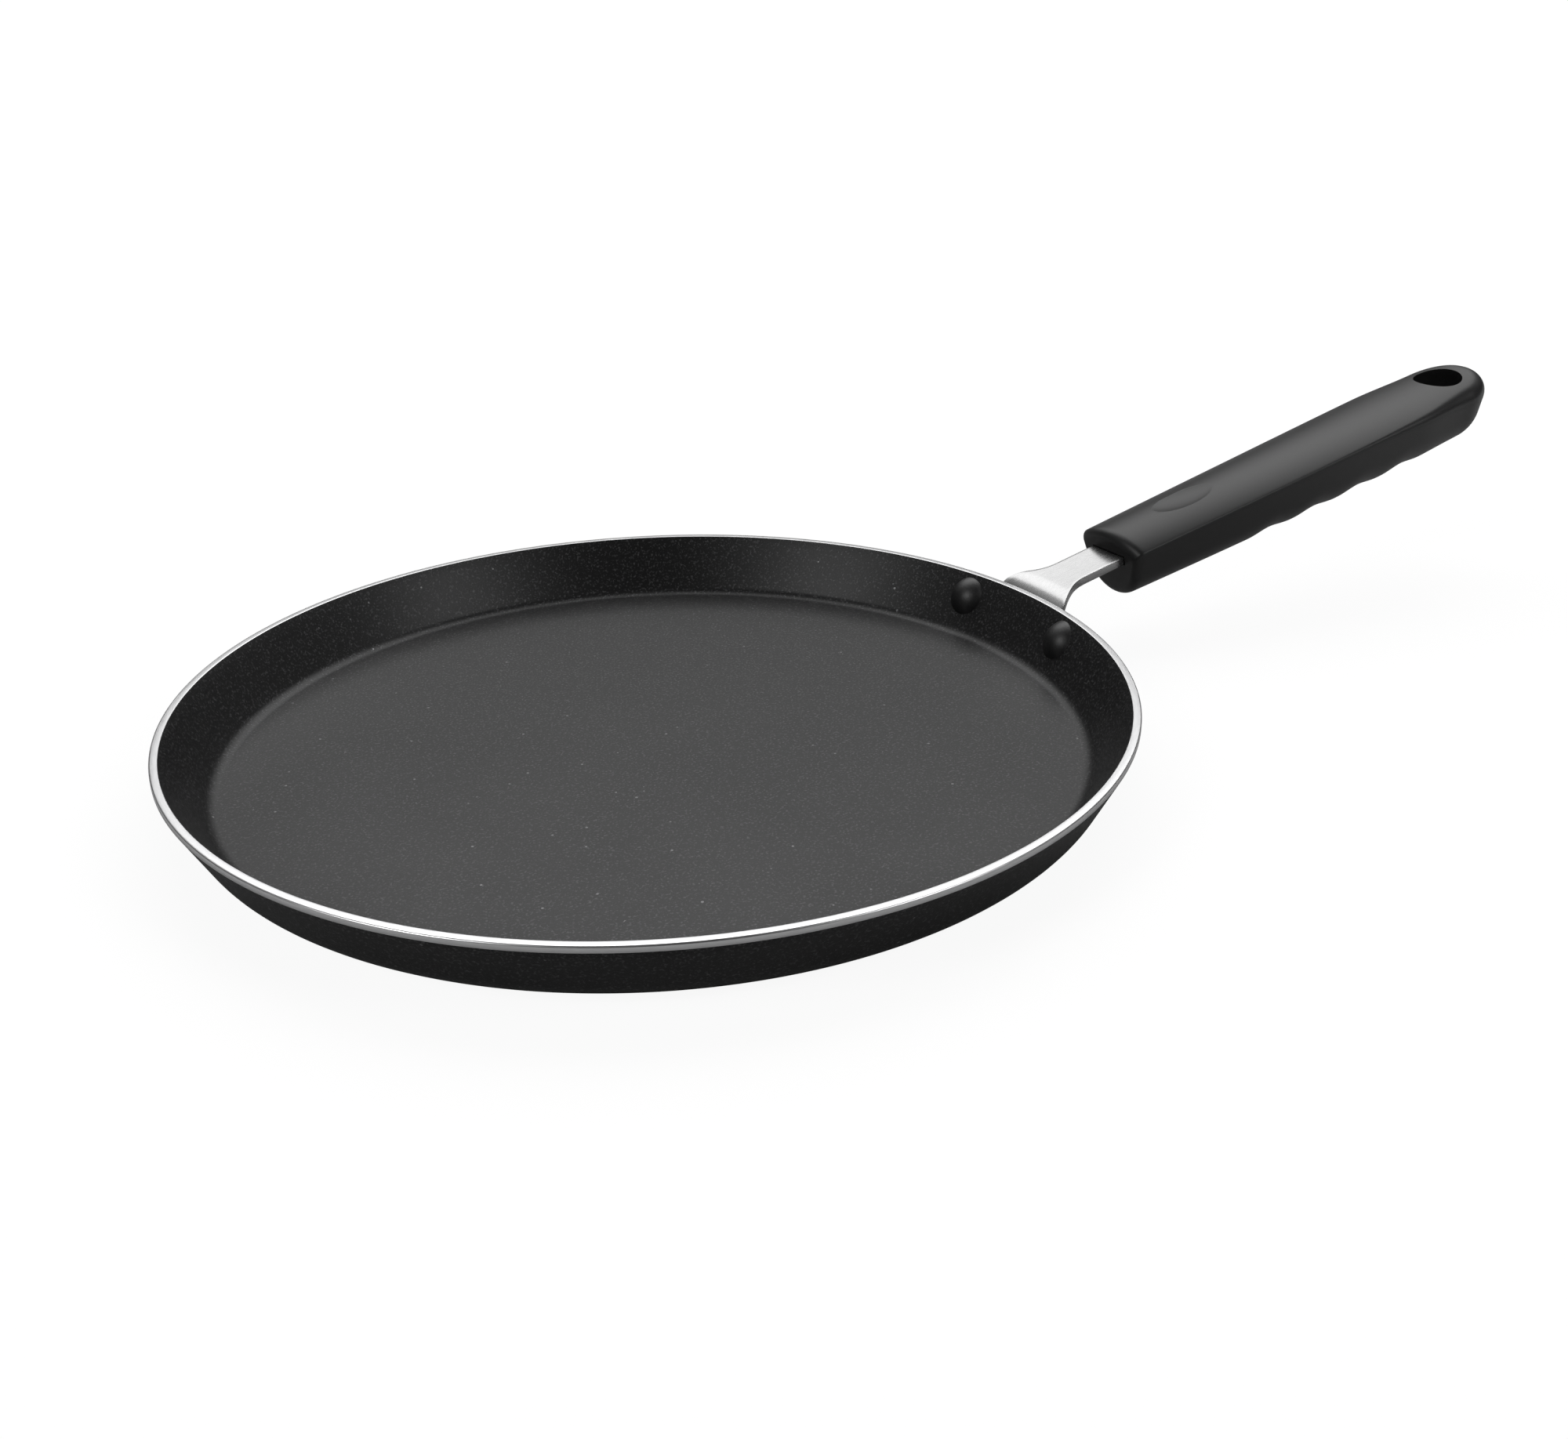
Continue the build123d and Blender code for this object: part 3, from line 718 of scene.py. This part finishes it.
def halfSection(size, place, inset, plain, turn=0.0):
    # half of a section from the top's middle to the belly's, as (across, height); the tail's sections
    # turn round its middle, and the crown runs straight over them
    half, corner, crown, depth = sectionSizes(size, place, plain)
    draft = math.radians(size["draft"])
    half, depth = half - inset, depth - 2 * inset
    bellyCentre = (depth - half * math.cos(draft)) / (1 - math.sin(draft))
    belly = depth - bellyCentre
    sideEnd = Vector((belly * math.cos(draft), -bellyCentre - belly * math.sin(draft)))
    bow = crown * max(math.cos(turn) ** 2, size["leastBow"])
    edge = half + (crown - bow) * math.tan(draft)
    ball = (edge**2 + bow**2) / (2 * bow)
    crownCentre = Vector((0.0, crown - ball))
    # the crease's rounding touches the crown's arc from inside and the side's line
    outward = Vector((math.cos(draft), -math.sin(draft)))
    away = outward.dot(Vector((half, 0.0))) - corner - outward.dot(crownCentre)
    start = math.pi / 2 + draft - math.acos(min(1.0, away / (ball - corner)))
    middle = crownCentre + (ball - corner) * Vector((math.sin(start), math.cos(start)))
    end = math.pi / 2 + draft
    points = [Vector((0.0, crown))] + arcAround(crownCentre, ball, 0.0, start, size["crownSteps"])
    points += arcAround(middle, corner, start, end, size["creaseSteps"])
    sideStart = points[-1]
    points += [sideStart.lerp(sideEnd, step / size["sideSteps"]) for step in range(1, size["sideSteps"] + 1)]
    points += arcAround(Vector((0.0, -bellyCentre)), belly, end, math.pi, size["bellySteps"])
    return [(point.x, point.y - inset) for point in points]


def buildHandle(name, size, inset, plain, alongStep):
    # the outer shape of the handle, or the same shape moved inwards
    work = bmesh.new()
    rounding, roundSteps = size["frontRound"] - inset, size["roundSteps"]
    first = inset + rounding
    places = [first - rounding * math.cos(math.pi / 2 * step / roundSteps) for step in range(roundSteps)]
    steps = round((straight - first) / alongStep)
    places += [first + (straight - first) * step / steps for step in range(steps + 1)]
    rings = []
    for place in places:
        short = max(0.0, first - place)
        half = halfSection(size, place, first - math.sqrt(max(rounding**2 - short**2, 0.0)), plain)
        whole = half + [(-across, height) for across, height in reversed(half[1:-1])]
        rings.append([work.verts.new(inHandle(place, across, height) * mm) for across, height in whole])
    for lower, upper in zip(rings, rings[1:]):
        for spot in range(len(lower)):
            after = (spot + 1) % len(lower)
            work.faces.new((lower[spot], lower[after], upper[after], upper[spot]))
    work.faces.new(rings[0])
    turnTail(work, size, rings[-1], len(half), inset, plain)
    bmesh.ops.recalc_face_normals(work, faces=work.faces)
    return meshObject(name, work)


def turnTail(work, size, ring, count, inset, plain):
    # half sections from the ring's one side round to its other, all with the ring's top and belly points
    top, belly = ring[0], ring[count - 1]
    previous = ring[:count]
    for step in range(1, size["tailSteps"] + 1):
        turn = math.pi * step / size["tailSteps"]
        if step == size["tailSteps"]:
            between = [ring[-spot] for spot in range(1, count - 1)]
        else:
            half = halfSection(size, straight, inset, plain, turn)[1:-1]
            between = [
                work.verts.new(inHandle(straight + across * math.sin(turn), across * math.cos(turn), height) * mm)
                for across, height in half
            ]
        current = [top] + between + [belly]
        for spot in range(count - 1):
            corners = [previous[spot], previous[spot + 1], current[spot + 1], current[spot]]
            work.faces.new([corner for index, corner in enumerate(corners) if corner not in corners[:index]])
        previous = current


def buildPrism(name, outline, start, end, place):
    # a prism standing on the crease plane: outline points are (along, across) from its place
    count = len(outline)
    points = [inHandle(place + along, across, height) for height in (start, end) for along, across in outline]
    faces = [tuple(range(count)), tuple(range(count, 2 * count))]
    faces += [(spot, (spot + 1) % count, count + (spot + 1) % count, count + spot) for spot in range(count)]
    made = newObject(name, points, faces=faces)
    finishMesh(made, gripSet["sharpAngle"])
    return made


def oval(halfLength, halfWidth):
    turns = [math.tau * step / gripSet["ovalSteps"] for step in range(gripSet["ovalSteps"])]
    return [(halfLength * math.cos(turn), halfWidth * math.sin(turn)) for turn in turns]


def buildScoop(size):
    # a flattened ball that meets the crown in the hollow's oval outline
    lift = size["thumbBowl"] - size["thumbDepth"]
    reach = math.sqrt(1 - (lift / size["thumbBowl"]) ** 2)
    middle = crownAt(size, size["thumbPlace"]) + lift
    work = bmesh.new()
    bmesh.ops.create_uvsphere(work, u_segments=size["thumbSegments"], v_segments=size["thumbRings"], radius=1.0)
    for vert in work.verts:
        x, y, z = vert.co
        along, across = x * size["thumbHalfLength"] / reach, y * size["thumbHalfWidth"] / reach
        vert.co = inHandle(size["thumbPlace"] + along, across, middle + z * size["thumbBowl"]) * mm
    return meshObject("scoop", work)


def cutFrom(made, cutter):
    # takes the cutter's space out of a piece, and the cutter away
    modifier = made.modifiers.new("cut", "BOOLEAN")
    modifier.operation, modifier.solver, modifier.object = "DIFFERENCE", "EXACT", cutter
    settle(made)
    bpy.data.objects.remove(cutter)


def buildGrip(size):
    made = buildHandle("handleGrip", size, 0.0, False, size["alongStep"])
    made.data.materials.append(gripSkin)
    cavity = buildHandle("cavity", size, size["skin"], True, size["cavityStep"])
    below, above = -size["bellyDepth"] - size["overrun"], size["frontCrown"] + size["overrun"]
    # the hang hole stands where the tail starts, and the skin lines it
    length, width, skin = size["hangHalfLength"], size["hangHalfWidth"], size["skin"]
    cutFrom(cavity, buildPrism("lining", oval(length + skin, width + skin), below, above, straight))
    cutFrom(made, cavity)
    cutFrom(made, buildPrism("hangHole", oval(length, width), below, above, straight))
    recess = oval(size["recessRadius"], size["recessRadius"])
    cutFrom(made, buildPrism("recess", recess, below, size["recessTop"], size["screwPlace"]))
    half, gap, over = seatSet["neckHalf"] + size["slotGap"], size["slotGap"], size["overrun"]
    slot = [(-over, -half), (over, -half), (over, half), (-over, half)]
    top = gap - size["overNeck"]
    cutFrom(made, buildPrism("slot", slot, top - seatSet["plate"] - 2 * gap, top, 0.0))
    cutFrom(made, buildScoop(size))
    finishMesh(made, size["sharpAngle"])
    return made


grip = buildGrip(gripSet)
print("grip moulded:", len(grip.data.polygons), "faces")


# Finishes for the solids that stay, and what stands for the others
for node, finish in (("handle_core", coreMoulding), ("fixing_screw", platedMetal), ("screw_washer", platedMetal)):
    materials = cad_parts[node].data.materials
    materials.clear()
    materials.append(finish)

for piece, nodes, slot in (
    (pan, ["pan_body"], "coated_pan"),
    (rivets, ["rivet_near", "rivet_far"], "rivet"),
    (strip, ["handle_bracket"], "bracket_steel"),
    (grip, ["handle_grip"], "soft_grip"),
):
    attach(piece, "root")
    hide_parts(*nodes)
print("pieces placed")


# Floor, world and lamps
white = (1.0, 1.0, 1.0, 1.0)
floorSet = {
    "half": 30000.0, "drop": 0.05, "colour": 0.5, "roughness": 0.9, "specular": 0.1,
    "nearGlow": 1.26, "farGlow": 1.02, "nearShare": 0.73, "nearReach": 300.0, "farReach": 1100.0,
}
skySet = {"low": 0.03, "high": 0.62, "facing": (0.1, 0.62), "height": (0.25, 0.6)}
lampSet = {
    "backLamp": {"place": (650.0, 850.0, 1250.0), "width": 1900.0, "depth": 1200.0, "power": 12.0},
    "leftLamp": {"place": (-1250.0, -100.0, 940.0), "width": 600.0, "depth": 600.0, "power": 5.5},
    "rightLamp": {"place": (750.0, -1070.0, 940.0), "width": 600.0, "depth": 600.0, "power": 4.5},
}
lampTarget = (100.0, 0.0, 20.0)


def makeFloor(size):
    # the far floor is white to the camera and in reflections, and near the pan it keeps its shadow
    half = size["half"]
    corners = [(-half, -half), (half, -half), (half, half), (-half, half)]
    floor = newObject("floor", [(x, y, -size["drop"]) for x, y in corners], faces=[(0, 1, 2, 3)])
    material, tree, shader = newMaterial("floorWhite", {
        "Base Color": (*[size["colour"]] * 3, 1.0),
        "Roughness": size["roughness"], "Specular IOR Level": size["specular"],
    })
    away = measure(tree, "LENGTH", addNode(tree, "ShaderNodeTexCoord").outputs["Object"])
    far = softStep(tree, away, size["nearReach"] * mm, size["farReach"] * mm)
    strength = spread(tree, far, size["nearGlow"], size["farGlow"])
    glow = addNode(tree, "ShaderNodeEmission", {"Color": white, "Strength": strength})
    ray = addNode(tree, "ShaderNodeLightPath").outputs
    seen = addMath(tree, "MULTIPLY", ray["Is Camera Ray"], spread(tree, far, size["nearShare"], 1.0))
    mirrored = addMath(tree, "ADD", ray["Is Glossy Ray"], ray["Is Transmission Ray"], clamp=True)
    share = addMath(tree, "ADD", seen, addMath(tree, "MULTIPLY", mirrored, far), clamp=True)
    mixed = addNode(tree, "ShaderNodeMixShader", {0: share, 1: shader.outputs[0], 2: glow.outputs[0]})
    tree.links.new(mixed.outputs[0], tree.nodes["Material Output"].inputs["Surface"])
    floor.data.materials.append(material)


def makeWorld(size):
    # a bright sky behind the pan, rising from the horizon, and a dark one before it
    world = bpy.data.worlds.new("studio")
    bpy.context.scene.world = world
    world.use_nodes = True
    tree = world.node_tree
    background = tree.nodes["Background"]
    direction = addNode(tree, "ShaderNodeTexCoord").outputs["Generated"]
    behind = Vector((viewLine.x, viewLine.y, 0.0)).normalized()
    back = softStep(tree, measure(tree, "DOT_PRODUCT", direction, behind), *size["facing"])
    rise = softStep(tree, splitPlace(tree, direction)[2], *size["height"])
    level = spread(tree, addMath(tree, "MULTIPLY", back, rise), size["low"], size["high"])
    ray = addNode(tree, "ShaderNodeLightPath").outputs
    seen = addMath(tree, "ADD", ray["Is Camera Ray"], ray["Is Transmission Ray"], clamp=True)
    background.inputs["Color"].default_value = white
    tree.links.new(mixValues(tree, seen, level, 1.0), background.inputs["Strength"])


def makeLamp(name, size):
    lamp = linkObject(name, bpy.data.lights.new(name, "AREA"))
    lamp.data.shape, lamp.data.energy = "RECTANGLE", size["power"]
    lamp.data.size, lamp.data.size_y = size["width"] * mm, size["depth"] * mm
    spot = Vector(size["place"]) * mm
    toward = (Vector(lampTarget) * mm - spot).to_track_quat("-Z", "Y")
    lamp.matrix_world = Matrix.Translation(spot) @ toward.to_matrix().to_4x4()


makeFloor(floorSet)
makeWorld(skySet)
for name, size in lampSet.items():
    makeLamp(name, size)
print("studio ready")
